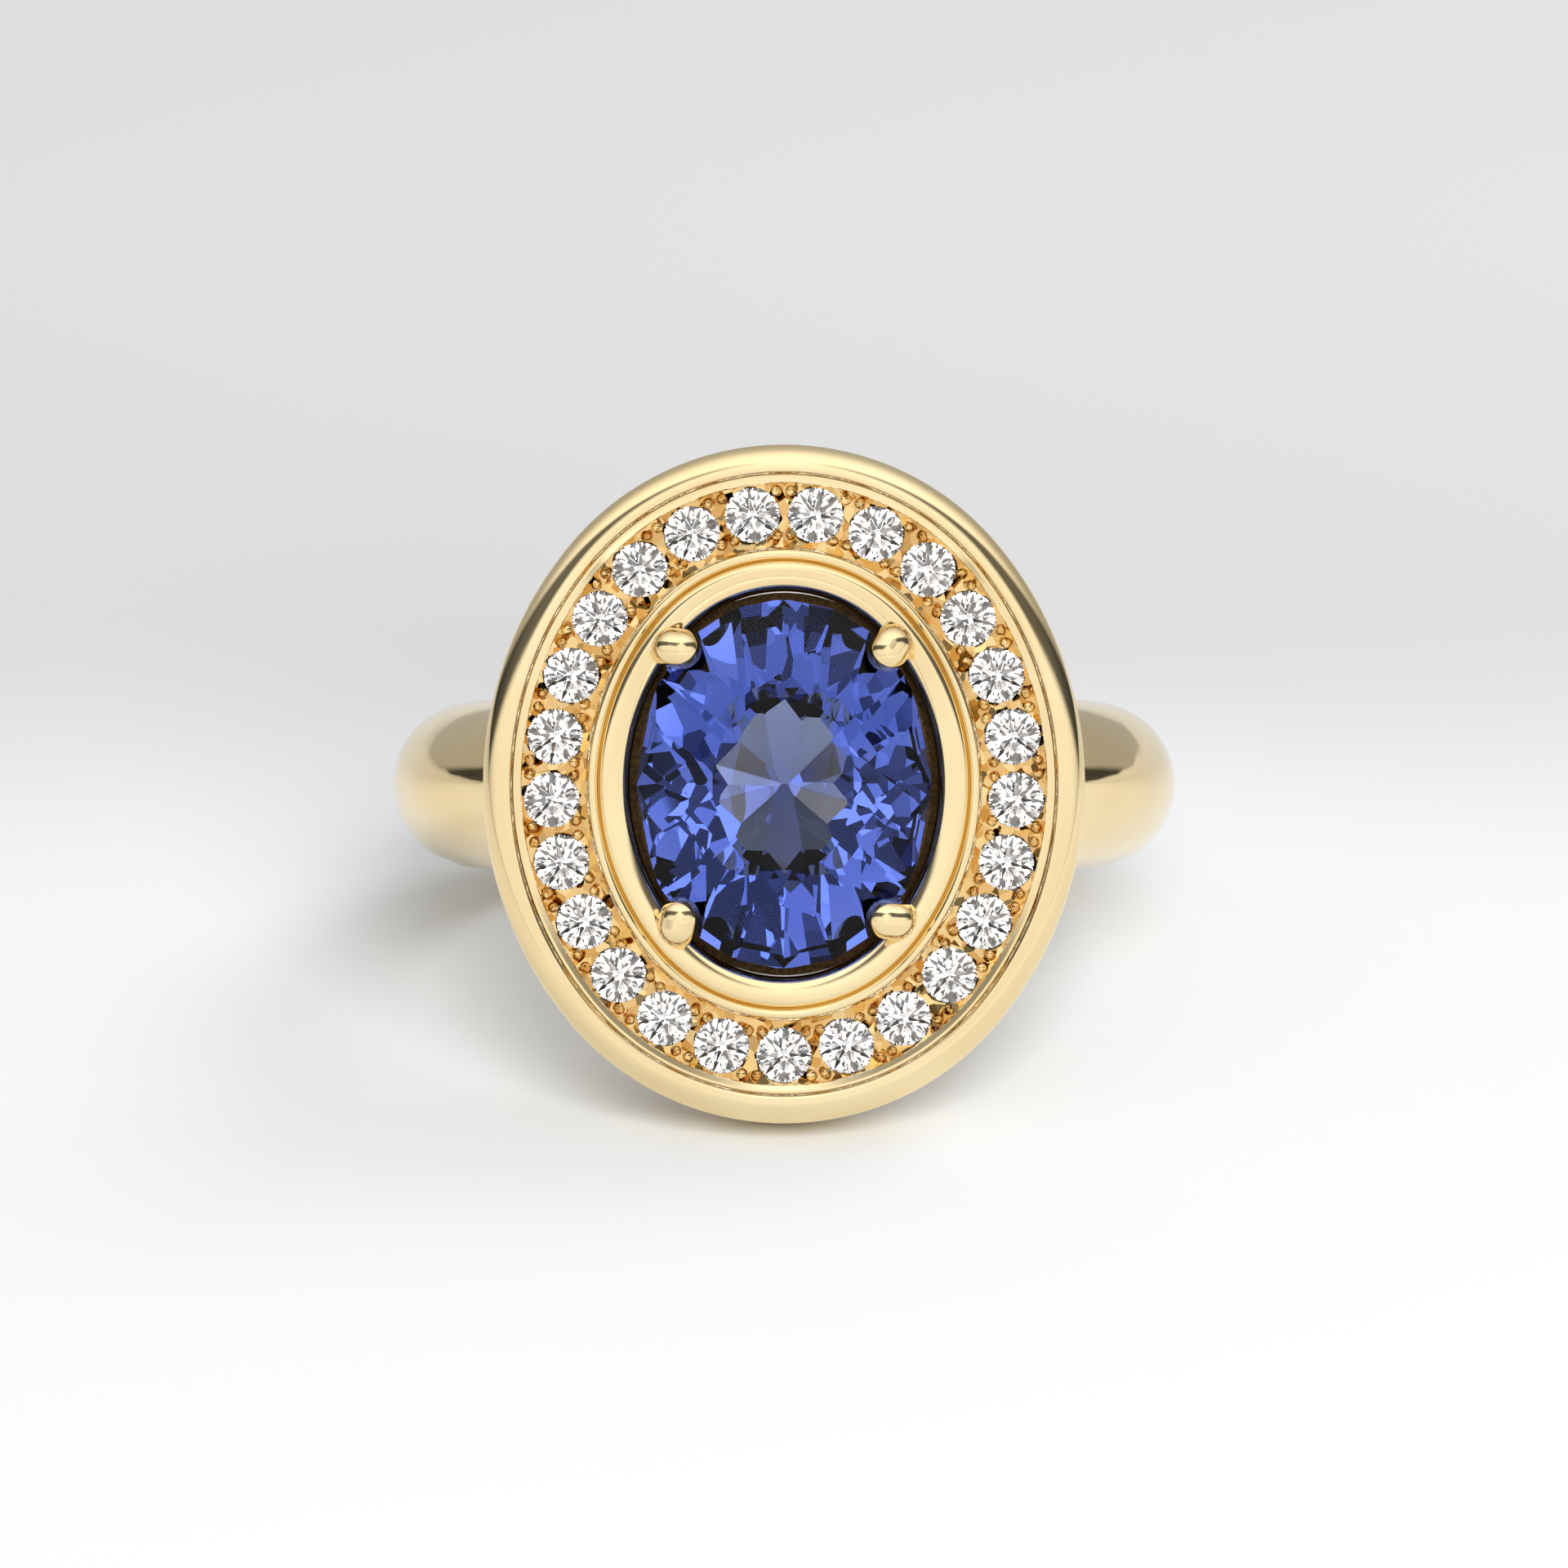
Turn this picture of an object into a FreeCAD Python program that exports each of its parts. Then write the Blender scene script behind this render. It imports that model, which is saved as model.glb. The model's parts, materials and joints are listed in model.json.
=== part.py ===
"""Oval halo ring: a large oval stone in four claws, a raised inner frame, a recessed row of
small round stones, a domed outer rim, and a domed shank.

The ring is modelled as it is worn, in millimetres: the finger hole's axis is Y and its centre
is the origin, X runs across the head, and Z points up through the large stone. At the end it
is laid down the way it rests on a table, on the rim of its head and the back of its shank.
"""
import FreeCAD, Part
import math
import os

from FreeCAD import Placement, Rotation, Vector

# --- driving dimensions, in mm -------------------------------------------------------------
# finger hole and shank
finger_radius = 8.45
shank_thickness = 2.42            # at its sides
shank_outer_rise = 0.55           # how far its outside is centred above the finger hole
shank_half_width_top = 2.42
shank_half_width_back = 1.75
shank_edge_round = 0.25           # height of the rounded inner edges
shank_edge_foot = 0.35            # their width
shank_edge_bulge = 0.09           # how far in they have come at the finger
shoulder_start_deg = 85.0         # measured from the back of the shank
shoulder_inset = 0.12             # shoulder's top corner, in from the head's side
shoulder_sweep = 0.60             # how early the shoulder rises: 0 is late
shank_end_deg = 160.0
shank_step_deg = 20.0

# large oval stone
stone_half_width = 4.0
stone_half_length = 5.0
stone_end_inset = 0.28            # radius of its ends, less than the half width by this
stone_table_share = 0.54
stone_crown_height = 1.40
stone_girdle = 0.10
stone_pavilion_depth = 3.70
stone_culet_clearance = 0.35      # between the stone's point and the finger
stone_gap = 0.22                  # between the stone and the frame round it

# head, drawn as ovals at equal offsets inside one outline
head_half_width = 8.20
head_half_length = 9.25
head_end_inset = 0.60             # radius of its ends, less than the half width by this
rim_width = 1.05
rim_bevel = 0.20                  # polished bevel along the rim's inner edge
rim_bevel_height = 0.45           # its outer edge, above the plate
rim_bevel_drop = 0.08
rim_crest_share = 0.82            # of the dome's width, from the outside
rim_ledge = 0.30                  # step inside the rim that carries the plate
rim_inner_bow = 0.04              # how far the dome's two sides bow out
rim_outer_bow = 0.16
rim_foot_round = 0.40
rim_crest_height = 0.72           # above the plate
rim_wall_height = 0.15            # where the rim's wall turns into its dome, above the plate
channel_width = 1.75              # the recessed row of small stones
row_shift = 0.06                  # row's centre line, out from the channel's middle
frame_width = 1.22
frame_ridge_width = 0.34          # the thin ridge round the outside of the frame
frame_lip_width = 0.17            # bevel along the frame's opening
frame_wall_height = 0.45          # heights are above the plate
frame_groove_height = 0.64        # between the ridge and the broad band
frame_lip_height = 0.62
frame_opening_height = 0.45
frame_band_bow = 0.15             # how far the band and the ridge bow out
frame_ridge_bow = 0.09
frame_skirt = 0.50                # how far the frame's skirt stands in from its outer wall
plate_thickness = 0.85
skirt_height = 0.95               # rim below the plate
girdle_above_plate = 0.60

# collar, ribs and rails under the head
collar_inset = 0.15
collar_wall = 0.80
collar_relief = 0.30              # the collar stands off the finger by this
window_width = 1.70
window_height = 1.10
window_spacing = 2.60
window_lift = 0.10                # above the middle of the wall
rib_width = 0.80
rib_drop = 0.25
rib_angles_deg = (25.0, 58.0, 90.0)
rail_behind_claw = 0.15           # how far the rails reach in past the claws
seat_rail_drop = 0.45             # top of the seat rail, below the girdle
seat_rail_height = 0.85
seat_flange_height = 0.25         # flange at its foot, which meets the frame
base_rail_inset = 0.40
base_rail_height = 0.65
base_rail_lift = 0.50             # above the finger

# claws
claw_radius = 0.55
claw_offset = 0.15                # claw's axis, out from the stone's edge
claw_foot_share = 0.80            # the basket narrows towards the finger
claw_top_height = 0.58            # above the girdle
claw_tip_reach = 0.25
claw_tip_lift = 0.06
claw_angle_deg = {                # direction of the stone's edge normal at each claw
    "upper_left": 38.5,
    "upper_right": 40.5,
    "lower_left": 42.0,
    "lower_right": 38.5,
}
claw_lean_deg = {                 # how each tip was bent, away from straight in
    "upper_left": 45.0,
    "upper_right": 5.0,
    "lower_left": 25.0,
    "lower_right": 45.0,
}

# small round stones
small_count = 25
small_radius = 0.75
small_table_share = 0.57
small_crown_height = 0.23
small_girdle = 0.04
small_pavilion_depth = 0.645
small_girdle_above_plate = 0.05
seat_clearance = 0.01
seat_opening = 0.60               # how far a seat stays open above the girdle
seat_shoulder_share = 0.86        # of the stone's radius, where the beads close in
bearing_depth = 0.30              # of the seat's cone, below the girdle
bearing_slope = 1.13              # inwards per unit of depth
azure_radius = 0.42
azure_flare = 0.16
bead_radius = 0.15
bead_side = 0.195                 # bead to the middle of the gap between two stones
bead_across = 0.60                # bead to the row's centre line
bead_lift = 0.07                  # bead's centre, above the plate

# --- levels and offsets worked out from them -------------------------------------------------
shank_outer_radius = finger_radius + shank_thickness
rail_wall = claw_radius + rail_behind_claw
girdle_z = finger_radius + stone_culet_clearance + stone_pavilion_depth + stone_girdle / 2
plate_top_z = girdle_z - girdle_above_plate
plate_bottom_z = plate_top_z - plate_thickness
head_base_z = plate_bottom_z - skirt_height
frame_offset = rim_width + channel_width
row_offset = rim_width + channel_width / 2 - row_shift
collar_offset = frame_offset + collar_inset
ledge_offset = rim_width + rim_ledge
skirt_offset = frame_offset + frame_skirt
dome_points = 12                  # points on the shank's dome, for its curve
TALL = 60.0                       # longer than the ring, for cutting tools
MEET = 1e-7                       # points nearer than this are one point


# --- ovals -----------------------------------------------------------------------------------
class Oval:
    """A four-arc oval in the XY plane. Directions are angles of its outward normal, and an
    offset moves its outline inwards by that much, keeping the same four centres."""

    def __init__(self, half_width, half_length, end_inset):
        end_radius = half_width - end_inset
        self.end_radius = end_radius
        self.end_y = half_length - end_radius
        if end_inset < MEET:
            self.side_radius = end_radius
        else:
            reach = self.end_y ** 2 + half_width ** 2 - end_radius ** 2
            self.side_radius = reach / (2 * end_inset)
        self.side_x = self.side_radius - half_width
        self.join_deg = math.degrees(math.atan2(self.end_y, self.side_x)) if self.side_x else 45.0

    def arcs(self):
        """(centre x, centre y, radius, first angle, last angle) of each arc."""
        j = self.join_deg
        return [
            (-self.side_x, 0.0, self.side_radius, -j, j),
            (0.0, self.end_y, self.end_radius, j, 180 - j),
            (self.side_x, 0.0, self.side_radius, 180 - j, 180 + j),
            (0.0, -self.end_y, self.end_radius, 180 + j, 360 - j),
        ]

    def point(self, angle_deg, offset=0.0):
        """The outline's point whose outward normal has that direction."""
        turned = (angle_deg + self.join_deg) % 360 - self.join_deg
        for x, y, radius, first, last in self.arcs():
            if first - MEET <= turned <= last + MEET:
                a = math.radians(turned)
                reach = radius - offset
                return Vector(x + reach * math.cos(a), y + reach * math.sin(a), 0)
        raise ValueError("no arc of the oval has that direction")

    def stations(self, count, offset, start_deg):
        """Directions of points evenly spaced along the outline, the first one at start_deg."""
        lengths = []
        for _, _, radius, first, last in self.arcs():
            lengths.append((radius - offset) * math.radians(last - first))
        total = sum(lengths)
        ends = []
        run = 0.0
        for length in lengths:
            ends.append(run)
            run += length

        def length_at(angle_deg):
            turned = (angle_deg + self.join_deg) % 360 - self.join_deg
            for (_, _, radius, first, last), before in zip(self.arcs(), ends):
                if first - MEET <= turned <= last + MEET:
                    return before + (radius - offset) * math.radians(turned - first)
            return total

        def angle_at(length):
            length = length % total
            for (_, _, radius, first, _), before, span in zip(self.arcs(), ends, lengths):
                if length <= before + span:
                    return first + math.degrees((length - before) / (radius - offset))
            return self.join_deg

        begin = length_at(start_deg)
        return [angle_at(begin + k * total / count) for k in range(count)]

    def prism(self, offset, bottom, top):
        """The solid inside the outline."""
        edges = []
        for x, y, radius, first, last in self.arcs():
            circle = Part.Circle(Vector(x, y, bottom), Vector(0, 0, 1), radius - offset)
            edges.append(Part.ArcOfCircle(circle, math.radians(first), math.radians(last)).toShape())
        face = Part.Face(Part.Wire(Part.__sortEdges__(edges)))
        return face.extrude(Vector(0, 0, top - bottom))

    def ring(self, corners):
        """A profile swept round the outline. Corners are (offset, height), and a third value
        bows the side that ends there by that much, to the left as the profile is walked."""
        pieces = []
        for x, y, radius, first, last in self.arcs():
            face = profile_face(radius, corners)
            face.rotate(Vector(0, 0, 0), Vector(0, 0, 1), first)
            piece = face.revolve(Vector(0, 0, 0), Vector(0, 0, 1), last - first)
            piece.translate(Vector(x, y, 0))
            pieces.append(piece)
        return pieces[0].multiFuse(pieces[1:]).removeSplitter()


def profile_face(radius, corners):
    """The face of an (offset, height) profile, standing in the XZ plane at that radius."""
    points = [Vector(radius - c[0], 0, c[1]) for c in corners]
    edges = []
    for k, corner in enumerate(corners):
        start = points[k - 1]
        end = points[k]
        if len(corner) == 3:
            along = (end - start).normalize()
            left = Vector(-along.z, 0, along.x)
            middle = (start + end) * 0.5 + left * corner[2]
            edges.append(Part.Arc(start, middle, end).toShape())
        else:
            edges.append(Part.LineSegment(start, end).toShape())
    return Part.Face(Part.Wire(edges))


head = Oval(head_half_width, head_half_length, head_end_inset)
stone = Oval(stone_half_width, stone_half_length, stone_end_inset)
small = Oval(small_radius, small_radius, 0.0)


# --- faceted stones ----------------------------------------------------------------------------
def plane_through(a, b, c):
    """(normal, distance) of the plane through three points, facing away from the stone."""
    normal = (b - a).cross(c - a).normalize()
    distance = normal.dot(a)
    if distance < 0:
        normal = normal * -1
        distance = -distance
    return normal, distance


def grind(faces, normal, distance):
    """A convex stone, as a list of its faces' corners, with what lies past one plane removed."""
    kept = []
    cut_points = []
    for face in faces:
        heights = [normal.dot(p) - distance for p in face]
        new = []
        for k, point in enumerate(face):
            before = face[k - 1]
            h0 = heights[k - 1]
            h1 = heights[k]
            if (h0 < -MEET and h1 > MEET) or (h0 > MEET and h1 < -MEET):
                crossing = before + (point - before) * (h0 / (h0 - h1))
                new.append(crossing)
                cut_points.append(crossing)
            if h1 <= MEET:
                new.append(point)
                if h1 >= -MEET:
                    cut_points.append(point)
        new = [p for k, p in enumerate(new) if (p - new[k - 1]).Length > MEET]
        if len(new) > 2:
            kept.append(new)
    rim = []
    for p in cut_points:
        if all((p - q).Length > 10 * MEET for q in rim):
            rim.append(p)
    on_plane = any(all(abs(normal.dot(p) - distance) < 10 * MEET for p in f) for f in kept)
    if len(rim) > 2 and not on_plane:
        middle = sum(rim, Vector()) * (1 / len(rim))
        first = (rim[0] - middle).normalize()
        second = normal.cross(first)
        rim.sort(key=lambda p: math.atan2((p - middle).dot(second), (p - middle).dot(first)))
        kept.append(rim)
    return kept


def brilliant(outline, table_share, crown, girdle, depth, mains=8, star=0.5, lower=0.78):
    """A brilliant cut about the origin, with its girdle's middle at height 0: a table, then a
    star, main and half facets above the girdle, and main and half facets below it."""
    girdle_sides = 8 * mains
    top = girdle / 2 + crown
    bottom = -girdle / 2 - depth
    reach = 4 * max(outline.point(0).Length, outline.point(90).Length)
    square = [(-reach, -reach), (reach, -reach), (reach, reach), (-reach, reach)]
    low = [Vector(x, y, bottom) for x, y in square]
    high = [Vector(x, y, top) for x, y in square]
    faces = [low[::-1], high]
    faces += [[low[k - 1], low[k], high[k], high[k - 1]] for k in range(4)]
    for k in range(girdle_sides):
        a = 360.0 * k / girdle_sides
        normal = Vector(math.cos(math.radians(a)), math.sin(math.radians(a)), 0)
        faces = grind(faces, normal, normal.dot(outline.point(a)))

    def at(angle, share, height):
        p = outline.point(angle)
        return Vector(p.x * share, p.y * share, height)

    step = 360.0 / mains
    turned = [k * step for k in range(mains)]
    for level, inner_share, inner_z, tip, side in (
        (girdle / 2, table_share, top, star, 1),
        (-girdle / 2, 0.0, bottom, lower, -1),
    ):
        planes = []
        for a in turned:
            edge = at(a, 1, level)
            along = Vector(-math.sin(math.radians(a)), math.cos(math.radians(a)), 0)
            planes.append(plane_through(edge, edge + along, at(a, inner_share, inner_z)))
        for k, a in enumerate(turned):
            faces = grind(faces, *planes[k])
            height = level + side * abs(inner_z - level) * (1 - tip if side > 0 else tip)
            meet = meeting_point(planes[k], planes[(k + 1) % mains], height)
            first = at(a, 1, level)
            middle = at(a + step / 2, 1, level)
            last = at(a + step, 1, level)
            faces = grind(faces, *plane_through(first, middle, meet))
            faces = grind(faces, *plane_through(middle, last, meet))
            if side > 0:
                one = at(a, inner_share, inner_z)
                other = at(a + step, inner_share, inner_z)
                faces = grind(faces, *plane_through(one, other, meet))
    shells = [Part.Face(Part.makePolygon(f + [f[0]])) for f in faces]
    shell = Part.makeShell(shells)
    shell.sewShape()
    return Part.makeSolid(shell)


def meeting_point(one, other, height):
    """Where two planes and a height meet."""
    (n, d), (m, e) = one, other
    d = d - n.z * height
    e = e - m.z * height
    det = n.x * m.y - n.y * m.x
    return Vector((d * m.y - e * n.y) / det, (n.x * e - m.x * d) / det, height)


def large_stone():
    cut = brilliant(stone, stone_table_share, stone_crown_height, stone_girdle,
                    stone_pavilion_depth)
    cut.translate(Vector(0, 0, girdle_z))
    return cut


def small_stations():
    """Where each small stone of the row sits, from the one nearest the wearer's hand."""
    places = []
    for a in head.stations(small_count, row_offset, -90.0):
        centre = head.point(a, row_offset)
        centre.z = plate_top_z + small_girdle_above_plate
        places.append((centre, a))
    return places


def small_stones():
    cut = brilliant(small, small_table_share, small_crown_height, small_girdle,
                    small_pavilion_depth)
    stones = {}
    for k, (centre, angle) in enumerate(small_stations(), 1):
        one = cut.copy()
        one.Placement = Placement(centre, Rotation(Vector(0, 0, 1), angle))
        stones["diamond_%02d" % k] = one
    return stones


# --- the head ----------------------------------------------------------------------------------
def outer_rim():
    """The domed rim: its foot rests on the shoulders, and its ledge carries the plate."""
    dome_width = rim_width - rim_bevel
    bevel_top = plate_top_z + rim_bevel_height
    return head.ring([
        (ledge_offset, head_base_z),
        (ledge_offset, plate_bottom_z),
        (rim_width, plate_bottom_z),
        (rim_width, bevel_top - rim_bevel_drop),
        (dome_width, bevel_top),
        (dome_width * rim_crest_share, plate_top_z + rim_crest_height, rim_inner_bow),
        (0.0, plate_top_z + rim_wall_height, rim_outer_bow),
        (0.0, head_base_z + rim_foot_round),
        (rim_foot_round, head_base_z, rim_foot_round * (1 - math.sqrt(0.5))),
    ])


def inner_frame():
    """The raised frame round the large stone, with a skirt that drops through the plate."""
    opening = frame_offset + frame_width
    inside = opening + 2 * stone_gap
    ring = head.ring([
        (inside, plate_bottom_z),
        (inside, plate_top_z + frame_opening_height),
        (opening, plate_top_z + frame_opening_height),
        (opening - frame_lip_width, plate_top_z + frame_lip_height),
        (frame_offset + frame_ridge_width, plate_top_z + frame_groove_height, frame_band_bow),
        (frame_offset, plate_top_z + frame_wall_height, frame_ridge_bow),
        (frame_offset, plate_top_z),
        (skirt_offset, plate_top_z),
        (skirt_offset, plate_bottom_z),
    ])
    return ring.cut(stone.prism(-stone_gap, 0, TALL))


def seat_cutter():
    """The space that one small stone and its light hole take in the plate, about the stone's
    girdle: wide enough over the crown for the beads to close in on it."""
    r = small_radius + seat_clearance
    table = small_radius * small_table_share + seat_clearance
    top = small_girdle / 2
    drop = plate_thickness + small_girdle_above_plate
    corners = [
        (0, top + seat_opening),
        (table, top + seat_opening),
        (table, top + small_crown_height),
        (small_radius * seat_shoulder_share, top + small_crown_height / 2),
        (r, top),
        (r, -top),
        (r - bearing_slope * bearing_depth, -top - bearing_depth),
        (azure_radius, -drop + azure_flare),
        (azure_radius + azure_flare, -drop),
        (0, -drop),
    ]
    wire = Part.makePolygon([Vector(x, 0, z) for x, z in corners + corners[:1]])
    return Part.Face(wire).revolve(Vector(0, 0, 0), Vector(0, 0, 1), 360)


def beads():
    """Two beads each side of every gap in the row, which hold the stones down."""
    grains = []
    gaps = head.stations(2 * small_count, row_offset, -90.0)[1::2]
    for a in gaps:
        middle = head.point(a, row_offset)
        out = Vector(math.cos(math.radians(a)), math.sin(math.radians(a)), 0)
        along = Vector(-out.y, out.x, 0)
        for across in (-bead_across, bead_across):
            for side in (-bead_side, bead_side):
                centre = middle + out * across + along * side
                centre.z = plate_top_z + bead_lift
                grains.append(Part.makeSphere(bead_radius, centre))
    return grains


def halo_plate():
    """The plate under the row: its seats, light holes and beads."""
    plate = head.prism(rim_width, plate_bottom_z, plate_top_z)
    plate = plate.cut(head.prism(skirt_offset, 0, TALL))
    plate = plate.fuse(beads())
    cutter = seat_cutter()
    seats = []
    for centre, _ in small_stations():
        seat = cutter.copy()
        seat.translate(centre)
        seats.append(seat)
    return plate.cut(seats)


def gallery_collar():
    """The wall under the inner frame: it carries the plate and the frame, arches over the
    finger, and has two windows in each end."""
    ring = head.prism(collar_offset, head_base_z / 2, plate_bottom_z)
    ring = ring.cut(head.prism(collar_offset + collar_wall, 0, TALL))
    middle_z = (finger_radius + plate_bottom_z) / 2 + window_lift
    round_radius = window_height / 2
    half_run = window_width / 2 - round_radius
    windows = []
    for x in (-window_spacing / 2, window_spacing / 2):
        slot = Part.makeBox(2 * half_run, TALL, window_height,
                            Vector(x - half_run, -TALL / 2, middle_z - round_radius))
        for side in (-half_run, half_run):
            end = Part.makeCylinder(round_radius, TALL, Vector(x + side, -TALL / 2, middle_z),
                                    Vector(0, 1, 0))
            slot = slot.fuse(end)
        windows.append(slot.removeSplitter())
    return ring.cut([finger_cylinder(collar_relief)] + windows)


def finger_cylinder(relief=0.0):
    radius = finger_radius + relief
    return Part.makeCylinder(radius, TALL, Vector(0, -TALL / 2, 0), Vector(0, 1, 0))


def gallery_ribs():
    """Ribs from the collar to the rim, under the plate."""
    between = head.prism(ledge_offset, 0, TALL).cut(head.prism(collar_offset, 0, TALL))
    angles = []
    for a in rib_angles_deg:
        angles += [a, -a] if a == 90 else [a, 180 - a, 180 + a, -a]
    ribs = []
    for a in angles:
        length = 2 * channel_width
        bar = Part.makeBox(length, rib_width, skirt_height - rib_drop,
                           Vector(-length / 2, -rib_width / 2, head_base_z + rib_drop))
        place = head.point(a, (ledge_offset + collar_offset) / 2)
        bar.Placement = Placement(place, Rotation(Vector(0, 0, 1), a))
        ribs.append(bar.common(between))
    return ribs


# --- the basket --------------------------------------------------------------------------------
def claw_signs():
    return {
        "upper_left": (-1, 1),
        "upper_right": (1, 1),
        "lower_left": (-1, -1),
        "lower_right": (1, -1),
    }


def claw_blank(name):
    """One claw before it is fitted: a round wire with its tip bent over the stone."""
    sign_x, sign_y = claw_signs()[name]
    edge = stone.point(claw_angle_deg[name], -claw_offset)
    top = Vector(sign_x * edge.x, sign_y * edge.y, girdle_z + claw_top_height)
    foot = Vector(top.x * claw_foot_share, top.y * claw_foot_share,
                  finger_radius + base_rail_lift)
    inwards = Vector(-top.x, -top.y, 0).normalize()
    lean = Rotation(Vector(0, 0, 1), claw_lean_deg[name])
    tip = top + lean.multVec(inwards) * claw_tip_reach + Vector(0, 0, claw_tip_lift)
    wire = Part.makeCylinder(claw_radius, (top - foot).Length, foot, top - foot)
    bend = Part.makeCylinder(claw_radius, (tip - top).Length, top, tip - top)
    balls = [Part.makeSphere(claw_radius, top), Part.makeSphere(claw_radius, tip)]
    return wire.fuse([bend] + balls).removeSplitter()


def seat_rail(large, blanks):
    """The upper rail, whose inner edge is the bearing under the large stone, with the flange
    that joins it to the inner frame."""
    top = girdle_z - seat_rail_drop
    bottom = top - seat_rail_height
    ring = stone.prism(0, bottom, top)
    ring = ring.fuse(stone.prism(-stone_gap, bottom, bottom + seat_flange_height))
    ring = ring.cut(stone.prism(rail_wall, 0, TALL))
    return ring.cut([large] + blanks)


def base_rail(blanks):
    """The lower rail, which ties the claws' feet together."""
    bottom = finger_radius + base_rail_lift
    ring = stone.prism(base_rail_inset, bottom, bottom + base_rail_height)
    ring = ring.cut(stone.prism(base_rail_inset + rail_wall, 0, TALL))
    return ring.cut(blanks)


# --- the shank ---------------------------------------------------------------------------------
def shank_outside(angle_deg):
    """The shank's outer radius, from the finger hole's centre, at an angle from its back."""
    a = math.radians(angle_deg)
    drop = -shank_outer_rise * math.cos(a)
    plain = drop + math.sqrt(shank_outer_radius ** 2 - (shank_outer_rise * math.sin(a)) ** 2)
    corner_x = head_half_width - shoulder_inset
    corner_deg = math.degrees(math.atan2(corner_x, -head_base_z))
    corner = math.radians(corner_deg)
    corner_plain = -shank_outer_rise * math.cos(corner) + math.sqrt(
        shank_outer_radius ** 2 - (shank_outer_rise * math.sin(corner)) ** 2)
    lift = math.hypot(corner_x, head_base_z) - corner_plain
    t = (abs(angle_deg) - shoulder_start_deg) / (corner_deg - shoulder_start_deg)
    t = max(0.0, t)
    return plain + lift * t * t * (1 + shoulder_sweep - shoulder_sweep * t)


def shank_half_width(angle_deg):
    narrowing = shank_half_width_top - shank_half_width_back
    return shank_half_width_top - narrowing * math.cos(math.radians(angle_deg) / 2) ** 4


def shank_section(angle_deg):
    """The shank's closed D-shaped section at an angle from its back."""
    a = math.radians(angle_deg)

    def place(across, radius):
        return Vector(radius * math.sin(a), across, -radius * math.cos(a))

    half = shank_half_width(angle_deg)
    widest = finger_radius + shank_edge_round
    depth = shank_outside(angle_deg) - widest
    inner = finger_radius - shank_edge_round
    dome = []
    for k in range(dome_points + 1):
        b = math.pi * k / dome_points
        dome.append(place(half * math.cos(b), widest + depth * math.sin(b)))
    outwards = place(0, 1)
    curve = Part.BSplineCurve()
    shares = [k / dome_points for k in range(dome_points + 1)]
    curve.interpolate(Points=dome, Parameters=shares,
                      InitialTangent=outwards * (math.pi * depth),
                      FinalTangent=outwards * (-math.pi * depth))
    foot = half - shank_edge_foot
    bend = half - shank_edge_bulge
    edges = [
        curve.toShape(),
        Part.Arc(dome[-1], place(-bend, finger_radius), place(-foot, inner)).toShape(),
        Part.LineSegment(place(-foot, inner), place(foot, inner)).toShape(),
        Part.Arc(place(foot, inner), place(bend, finger_radius), dome[0]).toShape(),
    ]
    return Part.Wire(edges)


def shank():
    """The band and its shoulders, cut to the finger, the collar and the rim's foot."""
    count = round(2 * shank_end_deg / shank_step_deg)
    angles = [-shank_end_deg + k * shank_step_deg for k in range(count + 1)]
    band = Part.makeLoft([shank_section(a) for a in angles], True, False)
    above = Part.makeBox(TALL, TALL, TALL, Vector(-TALL / 2, -TALL / 2, head_base_z))
    return band.cut([finger_cylinder(), head.prism(collar_offset, 0, TALL), above])


# --- laying the ring down ----------------------------------------------------------------------
def resting_tilt():
    """How far the ring leans, in degrees, when it lies on its rim's foot and its shank's back."""
    foot_y = head_half_length - rim_foot_round
    foot_z = head_base_z + rim_foot_round
    back_z = finger_radius + shank_edge_round
    back_depth = shank_outside(0) - back_z

    def imbalance(t):
        rim = foot_y * math.cos(t) - foot_z * math.sin(t) + rim_foot_round
        back = back_z * math.sin(t) + math.hypot(shank_half_width_back * math.cos(t),
                                                 back_depth * math.sin(t))
        return rim - back

    low = 0.0
    high = math.pi / 2
    for _ in range(60):
        middle = (low + high) / 2
        if imbalance(middle) > 0:
            low = middle
        else:
            high = middle
    return math.degrees(low)


def lay_down(nodes):
    """Turns the ring on to its side and puts the middle of its base at the origin."""
    turn = Placement(Vector(), Rotation(Vector(1, 0, 0), 90 - resting_tilt()))
    spans = []
    for shape in nodes.values():
        rough = shape.copy()
        rough.Placement = turn.multiply(rough.Placement)
        spans += rough.tessellate(0.02)[0]
    low = Vector(*(min(p[k] for p in spans) for k in range(3)))
    high = Vector(*(max(p[k] for p in spans) for k in range(3)))
    shift = Vector(-(low.x + high.x) / 2, -(low.y + high.y) / 2, -low.z)
    print("tilt %.4f deg, finger hole's centre %s" % (resting_tilt(), tuple(shift)))
    print("size", tuple(high - low))
    place = Placement(shift, Rotation()).multiply(turn)
    laid = {}
    for name, shape in nodes.items():
        moved = shape.copy()
        moved.Placement = place.multiply(moved.Placement)
        laid[name] = moved
    return laid


def build():
    large = large_stone()
    blanks = {name: claw_blank(name) for name in claw_signs()}
    cutters = list(blanks.values())
    nodes = {
        "shank": shank(),
        "gallery_collar": gallery_collar().cut(cutters),
        "gallery_ribs": Part.makeCompound(gallery_ribs()),
        "outer_rim": outer_rim(),
        "halo_plate": halo_plate(),
        "inner_frame": inner_frame().cut(cutters),
        "seat_rail": seat_rail(large, cutters),
        "base_rail": base_rail(cutters),
        "sapphire": large,
    }
    for name, blank in blanks.items():
        nodes["claw_" + name] = blank.cut(large)
    nodes.update(small_stones())
    return nodes


def solids_only(shape):
    """The shape as one solid, or as a compound of its separate solids."""
    if len(shape.Solids) == 1:
        return shape.Solids[0]
    return Part.makeCompound(shape.Solids)


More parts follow.
